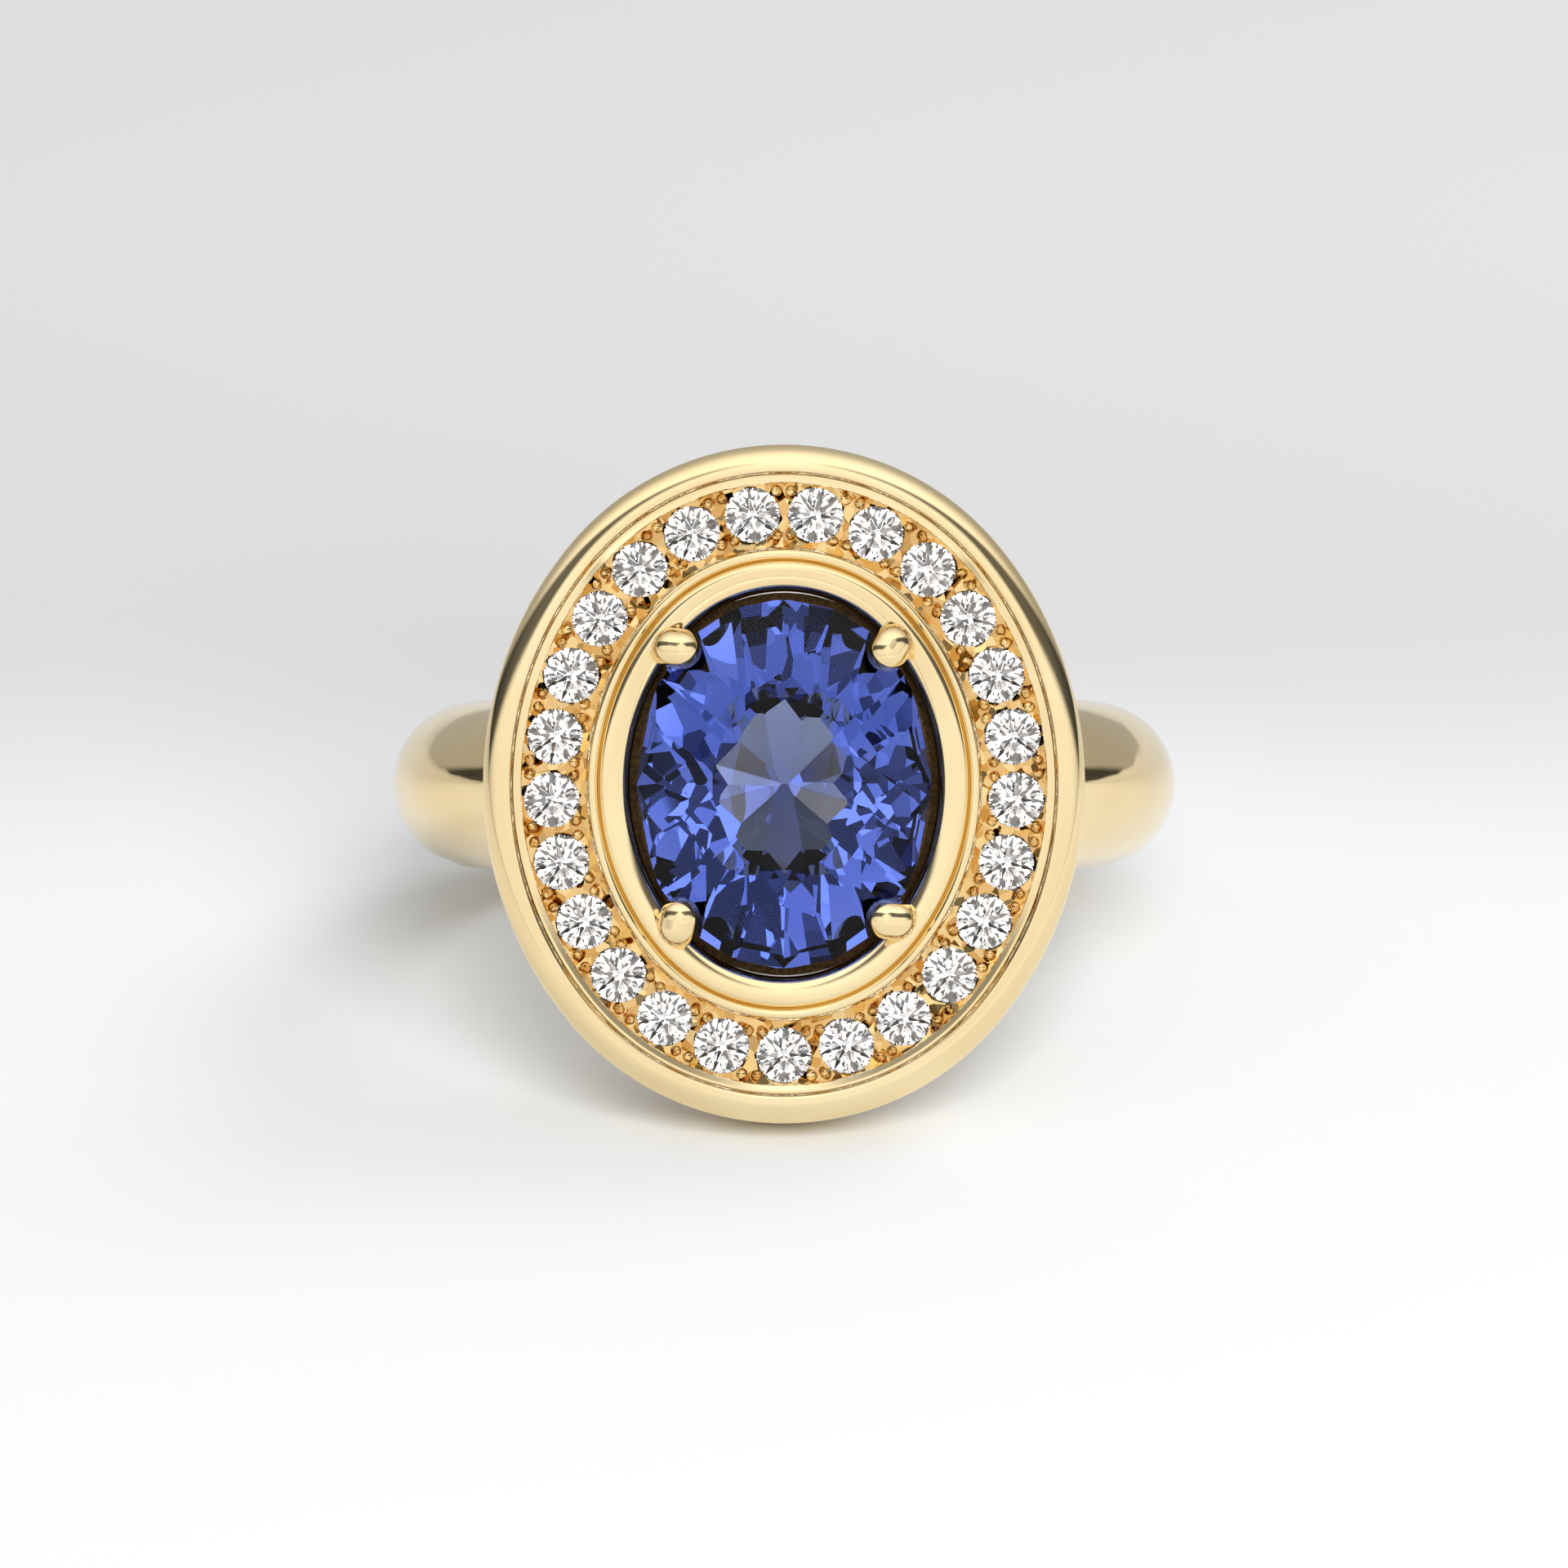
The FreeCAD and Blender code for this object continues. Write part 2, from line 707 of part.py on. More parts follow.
os.makedirs("parts", exist_ok=True)
for node, shape in lay_down(build()).items():
    piece = solids_only(shape)
    print("%-22s %3d solids %5d faces %9.3f mm3 %s" % (
        node, len(piece.Solids), len(piece.Faces), piece.Volume, piece.isValid()))
    piece.exportStep("parts/%s.step" % node)
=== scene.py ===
# %% [markdown]
# # An oval halo ring
#
# The ring lies on a pale table, with its face towards us. This lesson takes a finished model of
# it, whose pieces already have the right shape and place, and gives it its metal, its stones,
# its table and its light. Everything is in metres.

# %% Load the frame
import json
import math

import bmesh
import bpy
from mathutils import Matrix, Vector


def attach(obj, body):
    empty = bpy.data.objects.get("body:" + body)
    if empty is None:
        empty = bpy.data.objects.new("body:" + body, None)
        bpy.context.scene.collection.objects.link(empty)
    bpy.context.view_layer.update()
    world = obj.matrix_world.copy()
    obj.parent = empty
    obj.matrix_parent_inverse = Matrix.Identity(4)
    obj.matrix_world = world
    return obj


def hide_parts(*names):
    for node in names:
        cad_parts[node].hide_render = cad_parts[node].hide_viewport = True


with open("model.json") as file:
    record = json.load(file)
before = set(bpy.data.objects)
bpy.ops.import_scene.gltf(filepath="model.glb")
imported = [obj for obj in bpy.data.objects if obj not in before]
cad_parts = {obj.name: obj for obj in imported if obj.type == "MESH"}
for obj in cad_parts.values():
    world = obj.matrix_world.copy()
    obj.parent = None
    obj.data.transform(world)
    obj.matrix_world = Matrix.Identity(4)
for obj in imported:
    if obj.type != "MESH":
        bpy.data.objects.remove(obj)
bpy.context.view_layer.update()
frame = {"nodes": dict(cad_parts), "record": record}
nodes = frame["nodes"]

# %% [markdown]
# ## Where the ring's own directions are
#
# The ring leans back, because it rests on the rim of its head and the back of its band. The
# finger hole tells us how far: its axis is the ring's own Y, the table's X is shared, and the
# third direction comes out of the large stone. A matrix of the three takes a point from the
# ring's directions to the table's, and its inverse takes it back. We could type the lean as a
# number, but then it would be wrong as soon as the model changes.

# %% The ring's directions
MM = 0.001
hole = next(m for m in frame["record"]["mounts"] if m["name"] == "finger_hole")
across = Vector((1, 0, 0))
along = Vector(hole["axis"]).normalized()
outwards = across.cross(along)
to_table = Matrix((across, along, outwards)).transposed().to_4x4()
to_table.translation = Vector(hole["pos_m"])
to_ring = to_table.inverted()
lean = math.atan2(outwards.z, -outwards.y)
print("lean: %.2f degrees" % math.degrees(lean))


def extent(node):
    """Lowest and highest corner of a node, in the ring's own directions."""
    points = [to_ring @ v.co for v in nodes[node].data.vertices]
    low = Vector(min(p[k] for p in points) for k in range(3))
    high = Vector(max(p[k] for p in points) for k in range(3))
    return low, high


RIM_RISE = 0.72 * MM              # from the row's plate up to the rim's highest line
head_low, head_high = extent("outer_rim")
plate_top = head_high.z - RIM_RISE
face_centre = to_table @ Vector((0, 0, plate_top))
print("head: %.2f x %.2f mm" % tuple(2 * v / MM for v in head_high.to_2d()))
print("frame's top above the plate: %.2f mm" % ((extent("inner_frame")[1].z - plate_top) / MM))

# %% [markdown]
# ## The camera
#
# We look straight at the ring's face, so the head shows its true oval. A long lens from far off
# keeps the band behind it from shrinking much, as a jeweller's macro lens does. The field is
# about two and a half times as wide as the head.

# %% Camera
VIEW_WIDTH = 42.7 * MM
VIEW_DISTANCE = 350 * MM
camera_data = bpy.data.cameras.new("camera")
camera_data.lens = camera_data.sensor_width * VIEW_DISTANCE / VIEW_WIDTH
camera_data.clip_start = 0.01
camera_data.clip_end = 10
camera = bpy.data.objects.new("camera", camera_data)
camera.location = face_centre + outwards * VIEW_DISTANCE
camera.rotation_euler = outwards.to_track_quat("Z", "Y").to_euler()
bpy.context.scene.collection.objects.link(camera)
bpy.context.scene.camera = camera
print("lens: %.0f mm" % camera_data.lens)

# %% [markdown]
# ## Shader sums as Python sums
#
# A material is a small net of nodes. Wiring every node by name is long to read, so one class
# holds a socket and turns + - * into Math nodes. Any other node comes from its `node` method,
# which takes the node's type, its settings, what goes into its sockets, and which output we want.

# %% A socket that can be added and multiplied
class Wire:
    """One output of a shader's net of nodes."""

    def __init__(self, tree, socket=None):
        self.tree = tree
        self.socket = socket

    def node(self, kind, settings=None, inputs=None, out=0):
        made = self.tree.nodes.new(kind)
        for name, value in (settings or {}).items():
            setattr(made, name, value)
        for name, value in (inputs or {}).items():
            if isinstance(value, Wire):
                self.tree.links.new(value.socket, made.inputs[name])
            else:
                made.inputs[name].default_value = value
        return Wire(self.tree, made.outputs[out] if len(made.outputs) else None)

    def sum(self, operation, *values):
        inputs = dict(enumerate(values))
        return self.node("ShaderNodeMath", {"operation": operation}, inputs)

    def __add__(self, other):
        return self.sum("ADD", self, other)

    def __sub__(self, other):
        return self.sum("SUBTRACT", self, other)

    def __rsub__(self, other):
        return self.sum("SUBTRACT", other, self)

    def __mul__(self, other):
        return self.sum("MULTIPLY", self, other)

    def __rmul__(self, other):
        return self.sum("MULTIPLY", other, self)

    def step(self, start, end, low=0.0, high=1.0):
        """Goes smoothly from low to high while this wire goes from start to end."""
        return self.node("ShaderNodeMapRange", {"interpolation_type": "SMOOTHSTEP"}, {
            "Value": self, "From Min": start, "From Max": end, "To Min": low, "To Max": high})

    def between(self, one, other):
        """The mix of two colours, with this wire as the share of the other one."""
        return self.node("ShaderNodeMix", {"data_type": "RGBA"}, {0: self, 6: one, 7: other}, out=2)


def colour(red, green, blue):
    """A colour as a screen shows it, 0 to 255, in the linear values that shaders use."""
    def linear(value):
        share = value / 255
        return share / 12.92 if share <= 0.04045 else ((share + 0.055) / 1.055) ** 2.4
    return (linear(red), linear(green), linear(blue), 1)


def new_material(name):
    material = bpy.data.materials.new(name)
    material.use_nodes = True
    material.node_tree.nodes.clear()
    return material, Wire(material.node_tree)

# %% [markdown]
# ## Polished gold
#
# Polished gold has almost no colour of its own: it is a mirror that tints what it shows. So the
# shader is fully metallic and nearly smooth, and the work is in what there is to reflect. A
# hand-polished face is never quite flat, and it carries hair-fine wheel marks, so two weak noise
# patterns vary the roughness and bend the reflections a little.

# %% Polished gold
def polished_gold():
    material, net = new_material("polished_gold")
    place = net.node("ShaderNodeTexCoord", out="Object")
    waves = net.node("ShaderNodeTexNoise", None, {
        "Vector": place, "Scale": 260.0, "Detail": 1.0})
    marks = net.node("ShaderNodeTexNoise", None, {
        "Vector": place, "Scale": 5200.0, "Detail": 3.0})
    bump = net.node("ShaderNodeBump", None, {
        "Height": waves * 0.9 + marks * 0.02, "Strength": 0.25, "Distance": 0.00002})
    tint = waves.step(0.35, 0.65).between(colour(241, 217, 167), colour(246, 225, 178))
    shader = net.node("ShaderNodeBsdfPrincipled", None, {
        "Base Color": tint, "Metallic": 1.0, "Roughness": marks * 0.05 + 0.06, "Normal": bump})
    net.node("ShaderNodeOutputMaterial", None, {"Surface": shader})
    return material


# %% [markdown]
# ## Bright-cut gold
#
# Between the small stones the gold is cut with a graver, not polished. Each cut is a small flat
# plane that leans its own way, so one is bright and the next is dark. A cell pattern gives every
# cut its own lean: each cell's colour is a random vector, and we add it to the surface's normal.
# The same random value also paints each cut's colour, from a deep orange to pale gold. The deep end
# is painted shade and painted bounced light, because light that bounces between a cut and its
# neighbours comes out deeper and more orange.

# %% Bright-cut gold
CUT_SIZE = 0.27 * MM
CUT_LEAN = 0.9                    # share of a cell's random vector that bends the normal


def bright_cut_gold():
    material, net = new_material("bright_cut_gold")
    place = net.node("ShaderNodeTexCoord", out="Object")
    cell = net.node("ShaderNodeTexVoronoi", None, {
        "Vector": place, "Scale": 1 / CUT_SIZE}, out="Color")
    lean = net.node("ShaderNodeVectorMath", {"operation": "SUBTRACT"}, {0: cell, 1: (0.5, 0.5, 0.5)})
    lean = net.node("ShaderNodeVectorMath", {"operation": "SCALE"}, {0: lean, "Scale": CUT_LEAN})
    flat = net.node("ShaderNodeNewGeometry", out="Normal")
    leaning = net.node("ShaderNodeVectorMath", {"operation": "ADD"}, {0: flat, 1: lean})
    leaning = net.node("ShaderNodeVectorMath", {"operation": "NORMALIZE"}, {0: leaning})
    # painted shade and painted bounced light: each cut's colour, from deep orange to pale gold
    painted_bounce_tone = net.node("ShaderNodeSeparateColor", None, {"Color": cell})
    tint = painted_bounce_tone.between(colour(206, 150, 76), colour(248, 218, 156))
    shader = net.node("ShaderNodeBsdfPrincipled", None, {
        "Base Color": tint, "Metallic": 1.0, "Roughness": 0.14, "Normal": leaning})
    net.node("ShaderNodeOutputMaterial", None, {"Surface": shader})
    return material


# %% [markdown]
# ## Gold inside the setting
#
# No wheel reaches the rails under the large stone, so they keep the grainy, rough skin of the
# casting. Their near-black brown is painted shade, because the gap round the stone lies deep in
# shade.

# %% Gold in painted shade
def painted_shade_gold():
    material, net = new_material("painted_shade_gold")
    place = net.node("ShaderNodeTexCoord", out="Object")
    grain = net.node("ShaderNodeTexNoise", None, {"Vector": place, "Scale": 9000.0, "Detail": 3.0})
    bump = net.node("ShaderNodeBump", None, {
        "Height": grain, "Strength": 0.6, "Distance": 0.00002})
    # painted shade: a near-black brown for the deep gap round the stone
    tint = grain.step(0.3, 0.7).between(colour(74, 56, 34), colour(112, 86, 52))
    shader = net.node("ShaderNodeBsdfPrincipled", None, {
        "Base Color": tint, "Metallic": 0.8, "Roughness": 0.55, "Normal": bump})
    net.node("ShaderNodeOutputMaterial", None, {"Surface": shader})
    return material


# %% [markdown]
# ## Stones
#
# A cut stone is clear all through. Its sparkle comes from its flat facets, which bounce light
# inside it, so the mesh must stay faceted and the shader must bend light by the stone's real
# index: 1.77 for sapphire and 2.42 for diamond. The blue isn't on the surface. It builds up with
# the distance that light travels inside, which is what Volume Absorption does.
#
# The flat top of a stone is a mirror too. Seen from straight in front it mirrors the dark lens,
# not the bright cloth. So on the outside we keep only a fifth of its shine and let the rest of
# the light pass, and on the inside we keep all of it, for that is where the sparkle comes from.

# %% Stones
SURFACE_SHINE = 0.2


def clear_stone(name, index, absorbs=None, density=0.0):
    material, net = new_material(name)
    place = net.node("ShaderNodeTexCoord", out="Object")
    wear = net.node("ShaderNodeTexNoise", None, {"Vector": place, "Scale": 900.0})
    shader = net.node("ShaderNodeBsdfPrincipled", None, {
        "Base Color": (1, 1, 1, 1), "Roughness": wear.step(0.6, 0.9, 0.0, 0.03), "IOR": index,
        "Transmission Weight": 1.0})
    bends = net.node("ShaderNodeBsdfRefraction", None, {"Roughness": 0.0, "IOR": index})
    inside = net.node("ShaderNodeNewGeometry", out="Backfacing")
    both = net.node("ShaderNodeMixShader", None, {
        0: inside.step(0.0, 1.0, SURFACE_SHINE, 1.0), 1: bends, 2: shader})
    surfaces = {"Surface": both}
    if absorbs:
        surfaces["Volume"] = net.node("ShaderNodeVolumeAbsorption", None, {
            "Color": absorbs, "Density": density})
    net.node("ShaderNodeOutputMaterial", None, surfaces)
    return material


# %% [markdown]
# ## Giving each piece its finish
#
# Every piece of the model says which finish it is made in, so one loop gives them all out. The
# two rails under the large stone are gold too, but no wheel reached them and they sit deep in the
# shade of the gap round the stone, so they get their own rough gold, painted dark for that shade.

# %% Finishes
finishes = {
    "polished_gold": polished_gold(),
    "bright_cut_gold": bright_cut_gold(),
    "sapphire": clear_stone("sapphire", 1.77, (0.01, 0.20, 0.73, 1), 265.0),
    "diamond": clear_stone("diamond", 2.42),
}
for part in frame["record"]["subparts"]:
    mesh = nodes[part["node"]].data
    mesh.materials.clear()
    mesh.materials.append(finishes[part["material_slot"]])
# the rails get gold in painted shade, for the gap round the stone
for node in ("seat_rail", "base_rail"):
    nodes[node].data.materials[0] = painted_shade_gold()
print("finishes:", sorted(finishes))

# %% [markdown]
# ## Grinding more facets
#
# The model's large stone has the facets of a plain brilliant, so it shows only a few broad
# patches. Coloured stones are mostly cut by eye, with extra tiers of small facets that save
# weight and break the light into a mosaic. A cutter presses the stone against a flat wheel, and
# we do the same: each facet is one plane that cuts a little off a copy of the stone, and the hole
# it leaves is closed flat. So the drawn stone always lies inside the model's.

# %% The large stone
HAND_SLIP = 0.7                   # degrees that a facet may lie off, as it was ground by hand
# each tier: share of the way from axis to edge, degrees flatter, facets, and turn in facets
STONE_SHARES_BELOW = ((0.80, 0.6, 20, 0.5), (0.62, 2.2, 14, 0.0), (0.48, 9.0, 10, 0.5))
STONE_SHARES_ABOVE = ((0.87, 3.0, 20, 0.5), (0.78, 6.0, 14, 0.0), (0.66, 10.0, 10, 0.5))
FLAT_TOP = 0.54                   # the flat top's share of the stone's width
SLIP_TURN = 2.4                   # radians from one facet's slip to the next, so none repeats soon
WELD = 1e-7                       # metres: points closer than this are one
stone_low, stone_high = extent("sapphire")
stone_size = (stone_high - stone_low) / 2
girdle = max((to_ring @ v.co for v in nodes["sapphire"].data.vertices), key=lambda p: abs(p.x)).z
print("stone: %.1f x %.1f mm, girdle at %.2f mm" % (
    2 * stone_size.x / MM, 2 * stone_size.y / MM, girdle / MM))


def grind(solid, share, flatter, count, turn, tip, tip_share):
    """Cuts a tier of facets. Each goes through a point at that share of the way from the stone's
    axis to its edge, on the line to the tip, and lies that many degrees flatter than the line."""
    for k in range(count):
        a = 2 * math.pi * (k + turn) / count
        edge = Vector((stone_size.x * math.cos(a), stone_size.y * math.sin(a), 0))
        outward = Vector((math.cos(a) / stone_size.x, math.sin(a) / stone_size.y, 0)).normalized()
        reach = outward.dot(edge) * (1 - tip_share)
        slip = math.sin(SLIP_TURN * k + count)
        steep = math.atan2(abs(tip - girdle), reach) - math.radians(flatter + HAND_SLIP * slip)
        sign = math.copysign(1, tip - girdle)
        normal = outward * math.sin(steep) + Vector((0, 0, sign * math.cos(steep)))
        place = edge * share
        place.z = girdle + (tip - girdle) * (1 - share) / (1 - tip_share)
        cut = bmesh.ops.bisect_plane(
            solid, geom=solid.verts[:] + solid.edges[:] + solid.faces[:], dist=WELD,
            plane_co=to_table @ place, plane_no=to_table.to_3x3() @ normal, clear_outer=True)
        open_edges = [e for e in cut["geom_cut"] if isinstance(e, bmesh.types.BMEdge)]
        if open_edges:
            bmesh.ops.contextual_create(solid, geom=open_edges)


solid = bmesh.new()
solid.from_mesh(nodes["sapphire"].data)
bmesh.ops.remove_doubles(solid, verts=solid.verts[:], dist=WELD)
for share, flatter, count, turn in STONE_SHARES_BELOW:
    grind(solid, share, flatter, count, turn, stone_low.z, 0.0)
for share, flatter, count, turn in STONE_SHARES_ABOVE:
    grind(solid, share, flatter, count, turn, stone_high.z, FLAT_TOP)
print("closed:", all(e.is_manifold for e in solid.edges), "facets:", len(solid.faces))
bmesh.ops.recalc_face_normals(solid, faces=solid.faces[:])
stone_mesh = bpy.data.meshes.new("large_stone")
solid.to_mesh(stone_mesh)
solid.free()
ground_low = min((to_ring @ v.co).z for v in stone_mesh.vertices)
print("its point is %.2f mm shorter" % ((ground_low - stone_low.z) / MM))
stone_mesh.materials.append(finishes["sapphire"])
large_stone = bpy.data.objects.new("large_stone", stone_mesh)
bpy.context.scene.collection.objects.link(large_stone)
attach(large_stone, "root")
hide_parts("sapphire")

# %% [markdown]
# ## The rim and the frame, drawn smooth
#
# Both are one profile swept round an oval, and both are polished, so they show the room like a
# curved mirror. The CAD model's flat triangles would break those reflections, so we sweep them
# again with many more steps. The oval is the one jewellers draw with a compass: four arcs that
# share their tangents where they meet. Moving it inwards by an offset keeps the four centres,
# so a point needs only the direction its outline faces and the offset.

# %% The head's oval
END_INSET = 0.60 * MM             # its end arcs' radius is less than the half width by this
STATIONS = 540                    # steps round the oval
SHARP_FROM = 28                   # degrees: a bend sharper than this stays an edge
half_width, half_length = head_high.to_2d()
end_radius = half_width - END_INSET
end_centre = half_length - end_radius
side_radius = (end_centre ** 2 + half_width ** 2 - end_radius ** 2) / (2 * END_INSET)
side_centre = side_radius - half_width
join = math.atan2(end_centre, side_centre)
print("arcs of %.1f and %.1f mm meet at %.1f degrees" % (
    end_radius / MM, side_radius / MM, math.degrees(join)))


def oval_point(direction, offset, height):
    """The point of the head's oval whose outline faces that direction, in the ring's terms."""
    c, s = math.cos(direction), math.sin(direction)
    if abs(math.atan2(abs(s), abs(c))) < join:
        return Vector((math.copysign(1, c) * -side_centre + (side_radius - offset) * c,
                       (side_radius - offset) * s, height))
    return Vector(((end_radius - offset) * c,
                   math.copysign(1, s) * end_centre + (end_radius - offset) * s, height))


def sweep(name, profile):
    """A ring with a closed profile of (offset, height above the plate), both in mm."""
    mesh = bpy.data.meshes.new(name)
    points = []
    for k in range(STATIONS):
        direction = 2 * math.pi * k / STATIONS
        for offset, height in profile:
            point = oval_point(direction, offset * MM, plate_top + height * MM)
            points.append(to_table @ point)
    n = len(profile)
    faces = []
    for k in range(STATIONS):
        a, b = k * n, (k + 1) % STATIONS * n
        faces += [(a + j, b + j, b + (j + 1) % n, a + (j + 1) % n) for j in range(n)]
    mesh.from_pydata(points, [], faces)
    mesh.shade_smooth()
    mesh.set_sharp_from_angle(angle=math.radians(SHARP_FROM))
    piece = bpy.data.objects.new(name, mesh)
    bpy.context.scene.collection.objects.link(piece)
    mesh.materials.append(finishes["polished_gold"])
    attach(piece, "root")
    return piece


def roll(start, crest, end, steps=16):
    """A rounded roll over three (offset, height) points: it leaves the first one upright, lies
    level at the crest, and comes down upright on the last."""
    points = []
    for k in range(2 * steps + 1):
        a = math.pi / 2 * k / steps
        side = start if k < steps else end
        points.append((crest[0] + (side[0] - crest[0]) * abs(math.cos(a)),
                       side[1] + (crest[1] - side[1]) * math.sin(a)))
    return points


# %% [markdown]
# The rim's profile goes up its inner wall, over a thin polished bevel, and across the roll to the
# outside. The roll is highest near its inner side, so nearly all of it faces outwards: its top
# shows the light above, and its bottom shows the paper. A narrow groove between the bevel and
# the roll draws the fine dark line just outside the row of stones.

# %% The rim
RIM = 1.05                        # mm from the head's edge to the row's channel
FOOT_RADIUS = 0.40                # mm, where the rim's outside turns under
foot = (head_low.z - plate_top) / MM
plate_foot = (extent("halo_plate")[0].z - plate_top) / MM
foot_round = [(FOOT_RADIUS - FOOT_RADIUS * math.cos(a),
               foot + FOOT_RADIUS - FOOT_RADIUS * math.sin(a))
              for a in (math.radians(9 * k) for k in range(11))]
rim_profile = [(RIM + 0.30, foot), (RIM + 0.30, plate_foot), (RIM, plate_foot), (RIM, 0.0),
               (RIM, 0.34), (RIM - 0.02, 0.38), (RIM - 0.15, 0.42), (RIM - 0.16, 0.10),
               (RIM - 0.205, 0.10)]
rim_profile += roll((RIM - 0.22, 0.41), (RIM - 0.37, 0.70), (0.0, 0.06)) + foot_round
rim = sweep("rim", rim_profile)
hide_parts("outer_rim")

# %% [markdown]
# The frame round the large stone is two rolls side by side: a thin one outside, and a broad one
# that slopes down to the stone, with a soft groove between them. Its opening drops away
# steeply, so a dark line shows all round the stone.

# %% The frame
FRAME = 2.80                      # mm from the head's edge to the frame's outer wall
frame_profile = [(FRAME + 1.20, plate_foot), (FRAME + 1.20, 0.20), (FRAME + 1.17, 0.42)]
frame_profile += roll((FRAME + 1.16, 0.44), (FRAME + 0.60, 0.74), (FRAME + 0.36, 0.50))
frame_profile += roll((FRAME + 0.34, 0.48), (FRAME + 0.18, 0.67), (FRAME, 0.36))
frame_profile += [(FRAME, -0.02), (FRAME + 0.50, -0.02), (FRAME + 0.50, plate_foot)]
inner_ring = sweep("frame", frame_profile)
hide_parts("inner_frame")

# %% [markdown]
# ## The table
#
# One sheet of paper runs under the ring and up behind it, as on a photographer's table. Near us
# it is almost white, and behind the ring, where the upright paper gets less light, it turns to a
# soft grey. Here the sheet is flat and that grey is painted shade that changes with the distance,
# which gives the same look and lets the ring be seen from all sides. Close to the ring the paper is
# painted a touch cooler, because the gold throws its own warm light there, and the two together
# should look neutral. Far behind it gets lighter again, painted light that makes up for the light
# that falls off.

# %% Table
TABLE_REACH = 3.0
table_mesh = bpy.data.meshes.new("table")
corners = [(x * TABLE_REACH, y * TABLE_REACH, 0) for x, y in ((-1, -1), (1, -1), (1, 1), (-1, 1))]
table_mesh.from_pydata(corners, [], [(0, 1, 2, 3)])
table = bpy.data.objects.new("table", table_mesh)
bpy.context.scene.collection.objects.link(table)

paper, net = new_material("paper")
place = net.node("ShaderNodeTexCoord", out="Object")
depth = net.node("ShaderNodeSeparateXYZ", None, {"Vector": place}, out="Y")
# painted shade: the paper greys behind the ring, and painted light lightens it again far off
far = depth.step(0.020, 0.075).between(colour(225, 225, 225), colour(234, 234, 234))
shade = depth.step(0.004, 0.030).between(colour(247, 247, 247), far)
reach = net.node("ShaderNodeVectorMath", {"operation": "LENGTH"}, {0: place}, out="Value")
# painted cool cast near the ring, against the gold's warm bounced light
shade = reach.step(0.009, 0.027).between(colour(244, 248, 253), shade)
shader = net.node("ShaderNodeBsdfPrincipled", None, {
    "Base Color": shade, "Roughness": 0.9, "Specular IOR Level": 0.1})
net.node("ShaderNodeOutputMaterial", None, {"Surface": shader})
table_mesh.materials.append(paper)

# %% [markdown]
# ## The room
#
# Metal and stones show the room around them, so the room is what we paint. Picture a tent of
# white cloth: bright overhead and in front, dimmer behind, with a dark seam on each side where
# two panels meet. Without something dark to reflect, polished gold looks like plastic.
# Directions in the room are easiest in the ring's own terms, so a dot product with one of its
# axes says how squarely a direction faces it.
#
# The stones need more. A cut stone gathers light from all over the room and packs it into small
# facets, so an even tent would make it milky. The room that shows through the stones is broken
# into bright and dark patches, some a touch warm, as a real studio is by its stands, lamps and
# dark clothes, and has a dark opening in front, for the lens. Taking the square root of the
# tent's brightness evens it out, so that the patches do most of the work. The gold shows neither
# patches nor opening, because a dark opening would draw a hard line along every rounded edge.
# Light that has come out of a stone counts as glossy too, so we ask about the stones first.

# %% Room
BACKDROP = 0.9                    # strength of the room where the camera looks straight at it
PLAIN = 0.49                      # and as it lights whatever isn't shiny
PATCHES = 3.4                     # how finely the room behind the stones is broken up
world = bpy.data.worlds.new("room")
bpy.context.scene.world = world
world.use_nodes = True
world.node_tree.nodes.clear()
net = Wire(world.node_tree)
direction = net.node("ShaderNodeTexCoord", out="Generated")


def facing(axis):
    """How squarely the room's direction faces an axis, from -1 to 1."""
    return net.node("ShaderNodeVectorMath", {"operation": "DOT_PRODUCT"}, {
        0: direction, 1: Vector(axis).normalized()}, out="Value")


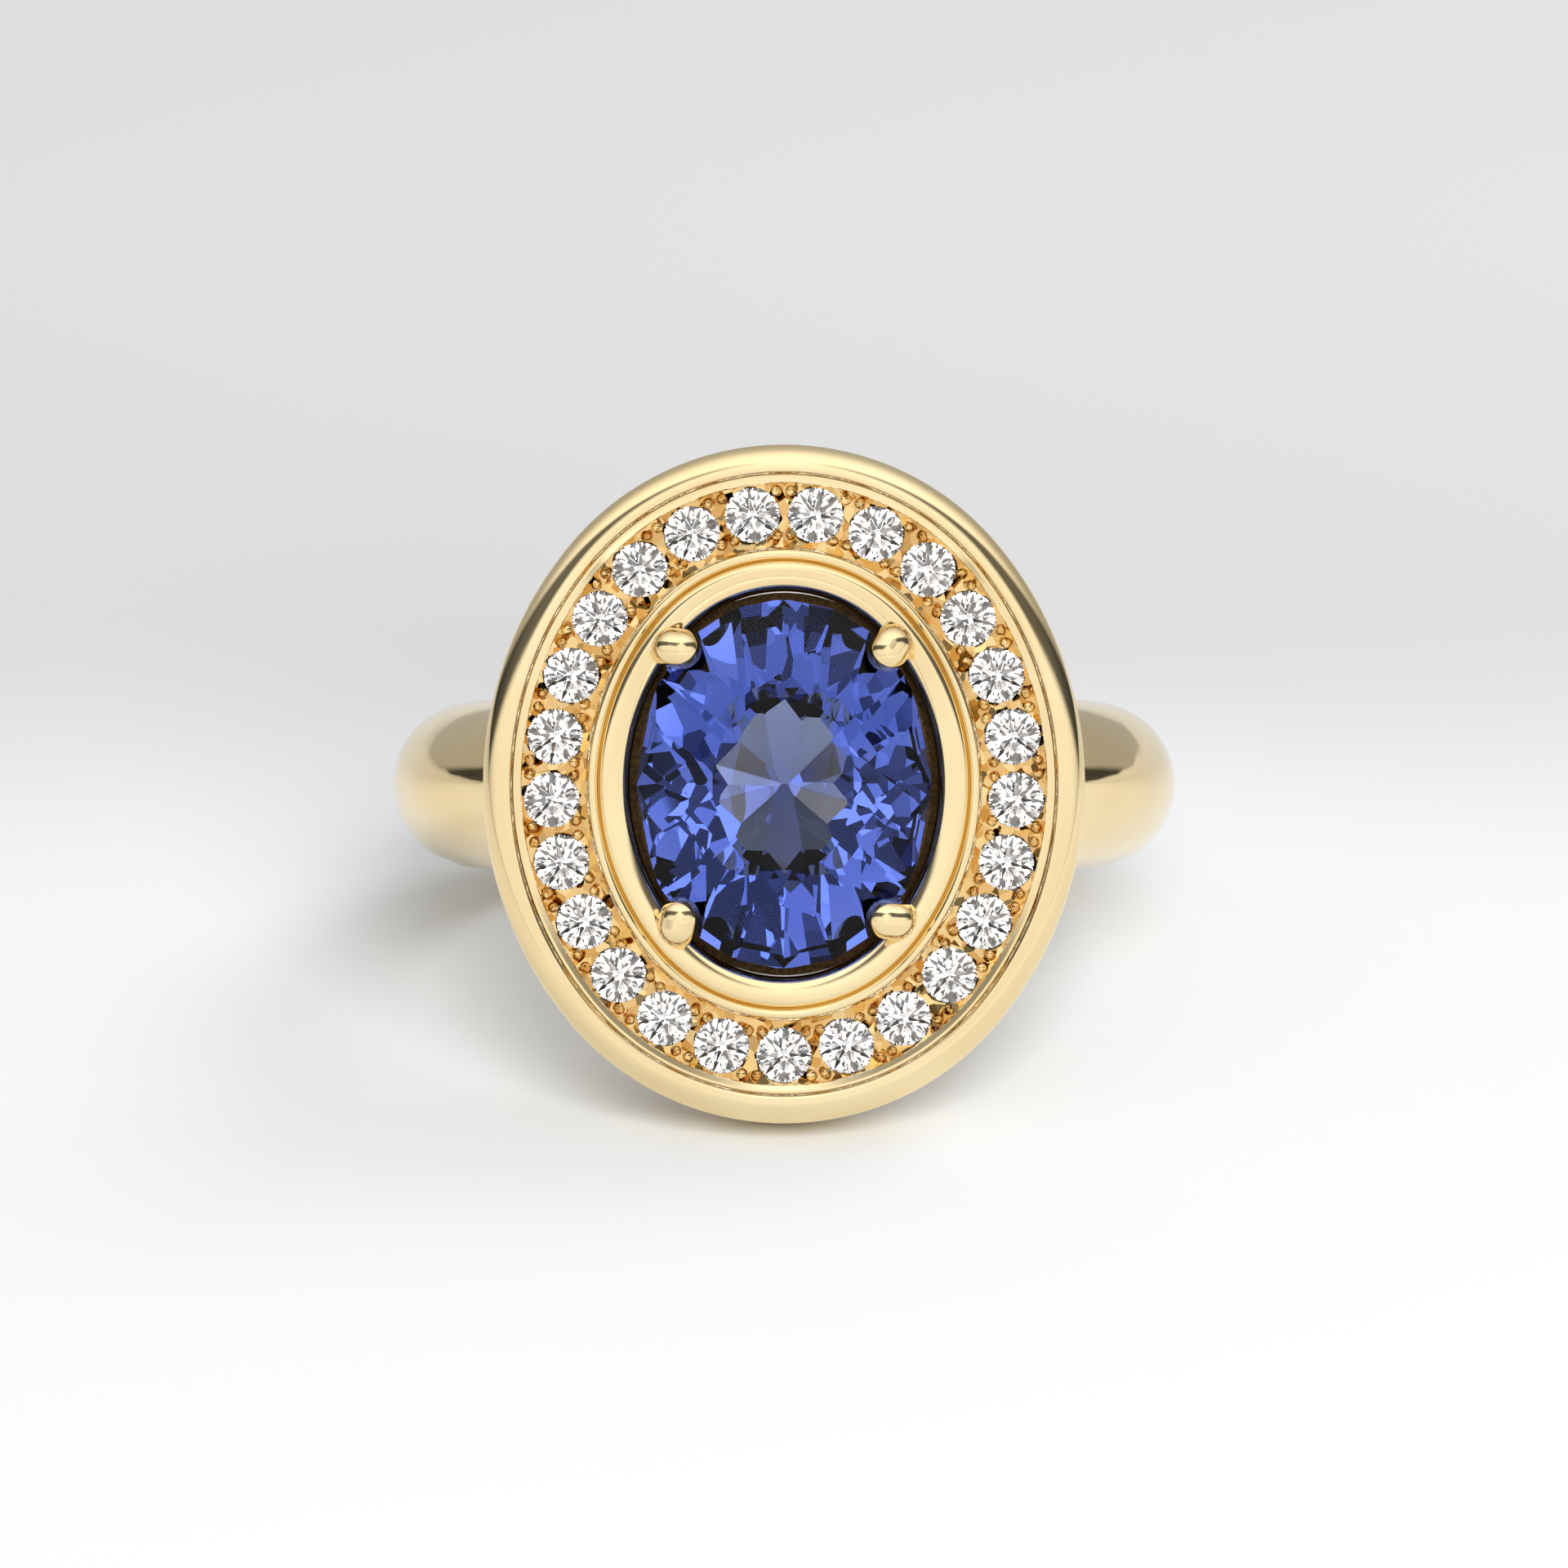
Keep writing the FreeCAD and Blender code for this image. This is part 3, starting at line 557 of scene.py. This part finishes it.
right = facing(across)
forwards = facing(outwards)
cloth = facing((0, 0, 1)).step(0.25, 0.9, 1.06, 1.42) * forwards.step(-0.4, 0.65, 0.42, 1.0)
seams = 1
for side in (-1, 1):
    seam_axis = across * side * -0.26 + along * 0.91 - outwards * 0.32
    off_seam = net.sum("ABSOLUTE", facing(seam_axis))
    here = (right * side).step(0.0, 0.15) * off_seam.step(0.12, 0.27, 1.0, 0.0)
    seams = seams * (1 - here * forwards.step(0.80, 0.95, 0.88, 0.0))
seen_in_metal = cloth * seams
lens = forwards.step(0.962, 0.974, 1.0, 0.22)
sees_camera = net.node("ShaderNodeLightPath", out="Is Camera Ray")
sees_gloss = net.node("ShaderNodeLightPath", out="Is Glossy Ray")
sees_through = net.node("ShaderNodeLightPath", out="Is Transmission Ray")
patch = net.node("ShaderNodeTexVoronoi", None, {
    "Vector": direction, "Scale": PATCHES}, out="Color")
patch_tone = net.node("ShaderNodeSeparateColor", None, {"Color": patch})
clutter = patch_tone.step(0.20, 0.40, 0.20, 1.40) + patch_tone.step(0.80, 0.84, 0.0, 1.40)
warmth = net.node("ShaderNodeSeparateColor", None, {"Color": patch}, out="Green")
light = (warmth * sees_through).between((1, 1, 1, 1), colour(255, 244, 238))
seen_in_stone = net.sum("SQRT", cloth) * clutter * lens
strength = sees_camera * BACKDROP + (1 - sees_camera) * (
    sees_through * seen_in_stone + (1 - sees_through) * (
        sees_gloss * seen_in_metal + (1 - sees_gloss) * PLAIN))
back = net.node("ShaderNodeBackground", None, {"Color": light, "Strength": strength})
net.node("ShaderNodeOutputWorld", None, {"Surface": back})


# %% [markdown]
# ## The lamps
#
# The stronger soft box is in front, a little to the right, and lights the face and the paper
# before it. The other is behind on the right, higher up, so the soft shadow falls to the left.
# Both hang outside the tent and shine through its cloth, so neither the gold nor the stones show
# them as bright discs.

# %% Lamps
LAMP_SIZE = 0.25


def soft_box(name, place, power):
    data = bpy.data.lights.new(name, "AREA")
    data.shape = "DISK"
    data.size = LAMP_SIZE
    data.energy = power
    box = bpy.data.objects.new(name, data)
    box.location = place
    box.rotation_euler = (Vector(place) - face_centre).to_track_quat("Z", "Y").to_euler()
    box.visible_glossy = False
    box.visible_transmission = False
    bpy.context.scene.collection.objects.link(box)


soft_box("key", (0.08, -0.36, 0.26), 1.48)
soft_box("fill", (0.28, 0.18, 0.33), 0.48)

# %% [markdown]
# ## Colours as they are
#
# A film's tone curve would grey the white paper and dull the gold. The plain view keeps each
# colour as the light made it.

# %% Colours as they are
bpy.context.scene.view_settings.view_transform = "Standard"
